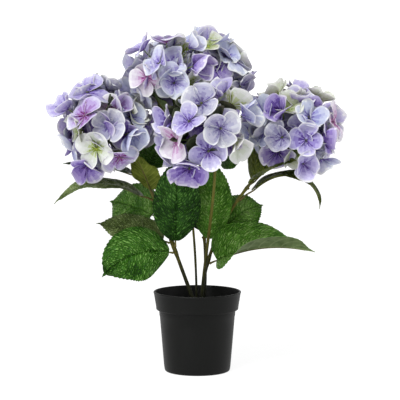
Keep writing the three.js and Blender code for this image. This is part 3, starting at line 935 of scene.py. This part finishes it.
def walls_of(name):
    """The way to each other head, and how far this one may reach towards it."""
    centre = head_centre(name)
    for other in HEADS:
        if other != name:
            apart = head_centre(other) - centre
            yield unit(apart), np.linalg.norm(apart) / 2 - CLEAR


def kept_florets(name, shell, obstacles):
    """The florets that have room between the neighbouring heads, the leaves and the stems."""
    centre, walls, kept = head_centre(name), list(walls_of(name)), []
    for place in floret_places(name, shell):
        inwards = 0
        for way, reach in walls:
            marks = np.concatenate([place.point[None], petal_tips(place)])
            past = ((marks - centre) @ way).max() - reach
            if past > 0:
                slope = max(np.dot(place.outward, way), HEAD.facing)
                inwards = max(inwards, past / slope)
        if inwards > HEAD.most:
            continue
        place.point = place.point - place.outward * inwards
        tips = petal_tips(place)
        marks = np.concatenate([place.point[None], tips, (tips + place.point) / 2])
        apart = np.linalg.norm(marks[:, None] - obstacles[None], axis=-1)
        if apart.min() >= SHELLS[shell].touch:
            kept.append(place)
    return kept


def petal_grid(reach, cup, draw):
    """The middle surface of one petal, which runs out along +X and rises along +Z."""
    r = np.linspace(0, 1, PETAL.rows + 1)[:, None]
    q = np.linspace(-1, 1, PETAL.columns + 1)[None]
    r, q = np.broadcast_arrays(r, q)
    half = PETAL.half_width * np.interp(r, PETAL.stations, PETAL.widths) * draw(0.92, 1.1)
    point = draw(-0.03, 0.1) * (1 - np.abs(q)) * r ** 3
    turn = q * PETAL.fan
    reached = r * (1 - PETAL.lobe * (1 - np.cos(turn))) + point
    out = PETAL.claw + (1 - PETAL.claw) * reached
    y = half * np.sin(turn) * (1 + 0.05 * np.sin(q * draw(4, 7) + draw(0, 6)) * r ** 3)
    trough, curl, wave = draw(-0.05, 0.3), draw(-0.5, 0.6), draw(0.03, 0.1)
    phase, turns, twist = draw(0, 6.3), draw(2.4, 4.6), draw(-0.24, 0.24)
    bent = cup + curl * (0.4 - r)  # how steeply the petal stands at each place along it
    x, z = out * np.cos(bent), out * np.sin(bent)
    z = z + trough * q * q * np.sqrt(r) + twist * q * r
    z = z + wave * np.sin(turns * q + phase + 2 * r) * r ** 1.5
    depth, wide = PETAL.crease
    z = z - depth * np.exp(-(q / wide) ** 2) * (1 - 0.6 * r)
    return np.stack([x, y, z], -1) * reach, r, q


def petal_levels(r, q, draw):
    """Which colour of the palette each face takes: throat inside, rim outside, veined between."""
    r = (r[:-1, :-1] + r[1:, 1:]) / 2
    q = (q[:-1, :-1] + q[1:, 1:]) / 2
    shift = draw(-0.9, 0.7)
    veins = np.cos(q * pi * draw(2.6, 3.4)) * 0.8 * (1 - r) ** 0.6
    level = np.interp(r, (0, 0.12, 0.3, 0.55, 0.8, 0.92, 1), (-0.4, 0.4, 1.2, 2.2, 3.1, 4.3, 5))
    edge = smooth(np.abs(q), 0.72, 1.0) * smooth(r, 0.25, 0.6) * 1.8
    stray = np.array([[draw(-0.4, 0.4) for _ in row] for row in q])
    level = level + edge - veins + stray + shift * smooth(r, 0.15, 0.5)
    return np.clip(np.round(level), 0, LEVELS - 1).astype(int).ravel()


def add_floret(shape, place, palette, draw):
    side, other = across(place.face)
    lean = side * draw(-0.35, 0.35) + other * draw(-0.35, 0.35)
    face = unit(place.face + lean)
    side, other = across(face)
    shut = draw(-0.25, 0.25)  # how far the whole floret is closed, beyond its own cup
    for petal in range(4):
        reach = FLORET.reach * place.size * draw(0.9, 1.06)
        grid, r, q = petal_grid(reach, place.cup + shut + draw(-0.25, 0.25), draw)
        turn = place.spin + petal * pi / 2 + draw(-0.12, 0.12)
        out = side * cos(turn) + other * sin(turn)
        over = other * cos(turn) - side * sin(turn)
        step = PETAL.lift[petal % 2]
        points, upper, lower, walls = sheet(grid, PETAL.thickness)
        levels = petal_levels(r, q, draw) + palette * LEVELS
        rim = np.full(len(walls), palette * LEVELS + LEVELS - 1)
        shape.add(
            points @ np.stack([out, over, face]) + place.point + face * step,
            np.concatenate([upper, lower, walls]),
            np.concatenate([levels, levels, rim]),
        )


def add_eye(shape, place, slot):
    side, other = across(place.face)
    centre = place.point + place.face * EYE.lift
    shape.add_solid(ball(centre, EYE.radius * place.size, 6, 8, place.face, EYE.squash), slot)
    for bead in range(EYE.beads):
        turn = place.spin + (bead + 0.5) * 2 * pi / EYE.beads
        away = (side * cos(turn) + other * sin(turn)) * EYE.radius * EYE.spread
        shape.add_solid(ball(centre + away, EYE.bead_radius, 4, 6, place.face), slot)


def branch_of(place):
    """The name of the branch that a floret stands on."""
    if place.polar < radians(HEAD.cap_angle):
        return "top"
    ring = "upper" if place.polar < radians(HEAD.waist_angle) else "lower"
    return ring + str(int(place.azimuth % (2 * pi) / (2 * pi) * HEAD.sectors))


def bowed(start, end, way_in, steps):
    """A curve from start to end that arrives along way_in."""
    t = np.linspace(0, 1, steps)[:, None]
    bend = end - way_in * np.linalg.norm(end - start) * TWIG.bow
    return start * (1 - t) ** 2 + 2 * bend * t * (1 - t) + end * t * t


def add_twigs(shape, name, florets):
    """From the stem's tip to a hub, on by branches, and by a fine twig to each floret."""
    axis, centre = head_axis(name), head_centre(name)
    hub = centre - axis * HEAD.hub
    foot = centre - axis * HEADS[name].stalk
    thin, thick = STEMS[name].radius[1], HEAD.hub_radius
    line = mix(foot, hub, np.linspace(0, 1, 8)[:, None])
    shape.add_solid(tube(line, np.linspace(thin, thick, 8), 10))
    branches = {}
    for place in florets:
        branches.setdefault(branch_of(place), []).append(place)
    for group in branches.values():
        mean = np.mean([place.point for place in group], axis=0)
        fork = mix(hub, mean, HEAD.branch_split)
        line = mix(hub, fork, np.linspace(0, TWIG.past, 6)[:, None])
        radii = np.linspace(*TWIG.branch, 6) * HEAD.branch_radius
        shape.add_solid(tube(line, radii, 8))
        for place in group:
            line = bowed(fork, place.point, place.face, 9)
            radii = np.linspace(*TWIG.fine, 9) * HEAD.stalk_radius
            shape.add_solid(tube(line, radii, 6), 1)


def add_heads(stalks):
    kinds = list(PALETTES)
    cloth = [
        petal_cloth(f"petal_{kind}_{level}", colour)
        for kind in kinds
        for level, colour in enumerate(PALETTES[kind].split())
    ]
    eyes = [streaked(name, *tones) for name, tones in EYE_TONES.items()]
    obstacles = obstacle_points()
    for name in HEADS:
        florets = [place for shell in SHELLS for place in kept_florets(name, shell, obstacles)]
        petals, beads, twigs = Shape(), Shape(), Shape()
        for place in florets:
            shell, number = list(SHELLS).index(place.shell), place.number
            seed = HEADS[name].seed * PETAL_SEED.head + shell * PETAL_SEED.shell
            draw = seeded(seed + number * PETAL_SEED.floret + PETAL_SEED.first)
            draw()  # the first draws of seeds this near are almost the same
            deal = DEALS[name][shell].split()
            turn = (number * DEAL.floret + HEADS[name].seed * DEAL.head) % 1
            chosen = CHOSEN.get((name, place.shell), {})
            kind = chosen.get(number, deal[int(turn * len(deal))])
            add_floret(petals, place, kinds.index(kind), draw)
            add_eye(beads, place, list(EYE_TONES).index(EYES.get(kind, "eye_lilac")))
        add_twigs(twigs, name, florets)
        petals.build(f"petals_{name}", cloth, "blossom", [f"bloom_{name}"])
        beads.build(f"eyes_{name}", eyes, "blossom")
        twigs.build(f"twigs_{name}", stalks, "stem")


# ---- pot and fill ----

def add_pot(plastic):
    height, band_foot = POT.height, POT.height - POT.band_height
    rim, band, body, foot, wall, lip = POT.rim, POT.band, POT.body, POT.foot, POT.wall, POT.lip
    line = band_foot - 9  # a faint moulding step under the band
    slope = (body - foot) / (band_foot - 3)
    profile = [(0, 0.6), (foot - 9, 0.6), (foot - 8.4, 0)]
    profile += arc((foot - 3.2, 3.2), 3.2, -90, -5, 8)
    profile += [(foot + slope * z, z) for z in (8, 20, 35, 50, 62, line - 0.6)]
    profile += [(foot + slope * line + 0.35, line), (body + 0.25, band_foot - 3.2)]
    profile += arc((body + 1.6, band_foot - 2.4), 1.3, 180, 90, 4)
    profile += arc((band - 1.1, band_foot + 0.2), 1.1, -90, 0, 6)
    shares = (0.1, 0.35, 0.6, 0.85, 1)
    profile += slant((band, band_foot + 1.5), (rim - 0.7, height - 3.4), shares)
    profile += arc((rim - 1.2, height - 1.25), 1.2, -40, 90, 9)
    profile += arc((rim - lip + 1.0, height - 1.0), 1.0, 90, 180, 6)
    shares = (0.1, 0.4, 0.7, 1)
    profile += slant((rim - lip, height - 2.5), (band - wall, band_foot + 2), shares)
    profile += [(body - wall, band_foot - 2), (mix(body, foot, 0.5) - wall, band_foot / 2)]
    floor = FILL.floor
    profile += [(foot - wall, floor + 1.5), (foot - wall - 1.5, floor), (0, floor)]
    shape = Shape()
    shape.add_solid(turned(profile, 144))
    shape.build("nursery_pot", [plastic], "pot", ["pot"], sharp=60)


def crust_height(x, y):
    """A lumpy surface from a few crossing waves."""
    lumps = np.sin(x * 0.31 + 1) * np.cos(y * 0.27)
    lumps = lumps + 0.6 * np.sin(x * 0.8 + y * 0.6) * np.cos(y * 0.9 - x * 0.4)
    return 0.9 * lumps + 0.35 * np.sin(x * 2.1 + 0.5 * y) * np.sin(y * 1.9)


def pot_radius(z):
    """Half the width of the pot below its band."""
    low, high = FILL.floor, POT.height - POT.band_height - 2
    return mix(POT.foot, POT.body, (z - low) / (high - low))


def crust_fall(radius, edge):
    """How far the domed crust stands below its middle."""
    return np.interp(radius, (FILL.level, edge), (0, -FILL.dome))


def add_fill(rough, stones):
    top, low = FILL_TOP, FILL.floor + CLEAR
    inset = POT.wall + 2 * CLEAR
    edge = pot_radius(top - FILL.dome) - inset
    profile = [(0, low), (pot_radius(low) - inset, low)]
    profile += [(radius, top) for radius in np.linspace(edge, 2, 30)] + [(0, top)]
    points, quads, ends = turned(profile, 96)
    radius = np.hypot(points[:, 0], points[:, 1])
    lumps = crust_height(points[:, 0], points[:, 1]) - 1.3
    rise = crust_fall(radius, edge) + lumps * np.where(radius > edge - 1, 0.2, 1)
    points[:, 2] += np.where(points[:, 2] > low + 1, rise, 0)
    shape = Shape()
    shape.add_solid((points, quads, ends))
    draw = seeded(PEBBLES.seed)
    feet = np.array([stem.foot for stem in STEMS.values()], float)
    for _ in range(PEBBLES.most):
        place = direction(draw(0, 360), 0)[:2] * (edge - PEBBLES.edge) * sqrt(draw())
        if np.linalg.norm(feet - place, axis=1).min() < PEBBLES.clear:
            continue
        size = draw(*PEBBLES.radius)
        height = top - PEBBLES.sunk + crust_fall(np.hypot(*place), edge)
        tilt = direction(draw(0, 360), draw(*PEBBLES.tilt))
        squash = draw(*PEBBLES.squash)
        shape.add_solid(ball(np.array((*place, height)), size, 7, 9, tilt, squash), 1)
    shape.build("crust", [rough, stones], "pot_fill", ["pot_fill"])


# ---- the scene ----

# The focal length is given per width of the photograph.
CAMERA = Values(place=(0.0037, -2.6, 0.489), target=(0.0037, 0, 0.235), sensor=36, focal=1919 / 400)
MIDDLE = (0, 0, 0.25)  # where the lights point
# Half widths of the floor and of the square of walls, their foot and top, in metres.
STAGE = {"floor": 30, "walls": 6, "low": -0.0002, "high": 3}


def plain(name, base, glow):
    """An even white surface that also glows."""
    shade, white = (base, base, base, 1), (1, 1, 1, 1)
    sockets = dict(Base_Color=shade, Emission_Color=white, Emission_Strength=glow)
    return Nodes(name, "ffffff", 0.9, 0, **sockets).material


def add_sheet(name, corners, material):
    mesh = bpy.data.meshes.new(name)
    mesh.from_pydata(corners, [], [(0, 1, 2, 3)])
    mesh.materials.append(material)
    thing = add_object(name, mesh)


def stand(name, data, place, target):
    """Adds a light or camera at a place, aimed at a target."""
    thing = add_object(name, data)
    thing.location = place
    way = Vector(target) - thing.location
    thing.rotation_mode = "QUATERNION"
    thing.rotation_quaternion = way.to_track_quat("-Z", "Y")
    return thing


def add_light(name, kind, place, energy, **settings):
    data = bpy.data.lights.new(name, kind)
    data.energy = energy
    for key, value in settings.items():
        setattr(data, key, value)
    stand(name, data, place, MIDDLE)


def add_stage():
    """A lit white table and four low white walls far round it, under an even grey sky."""
    wide, deep, low, high = STAGE.values()
    floor = [(-wide, -wide, low), (wide, -wide, low), (wide, wide, low), (-wide, wide, low)]
    add_sheet("floor", floor, plain("table_white", 0.16, 0.9))
    wall = plain("wall_white", 0.4, 0.85)
    ends = [(-deep, deep), (deep, deep), (deep, -deep), (-deep, -deep)]
    for number, (a, b) in enumerate(zip(ends, ends[1:] + ends[:1])):
        corners = [(*a, low), (*b, low), (*b, high), (*a, high)]
        add_sheet(f"backdrop_{number}", corners, wall)
    world = bpy.data.worlds.new("studio")
    world.use_nodes = True
    sky = world.node_tree.nodes["Background"]
    sky.inputs["Color"].default_value = (1, 1, 1, 1)
    sky.inputs["Strength"].default_value = 0.5
    bpy.context.scene.world = world
    add_light("key", "SUN", (-1.1, -2.2, 3.7), 3.1, angle=radians(24))
    panel = dict(kind="AREA", shape="RECTANGLE")
    add_light("strip", **panel, place=(-0.9, -1.5, 0.3), energy=7, size=0.3, size_y=0.6)
    add_light("fill", **panel, place=(2.9, -0.9, 0.9), energy=10, size=1.4, size_y=1.4)


def add_camera():
    data = bpy.data.cameras.new("camera")
    data.sensor_width = CAMERA.sensor
    data.lens = CAMERA.sensor * CAMERA.focal
    data.clip_start, data.clip_end = 0.1, 100
    scene = bpy.context.scene
    scene.camera = stand("camera", data, CAMERA.place, CAMERA.target)
    scene.view_settings.view_transform = "Standard"


add_camera()
add_stage()
add_pot(pot_plastic())
add_fill(crust(), pebble())
add_stems(stem_bark())
unders = {
    "mid": blade_under("leaf_underside", "4a5c32", "6e8052", "869468"),
    "olive": blade_under("leaf_underside_olive", "4c5a16", "7c8834", "929a4a"),
}
tops = {tone: blade_top(tone) for tone in TONES}
add_leaves(tops, unders, streaked("leaf_stalk", "4b5223", "7a6a3a"))
add_heads([streaked("branch", "50602c", "74853f"), streaked("twig", "6f8544", "94a766")])
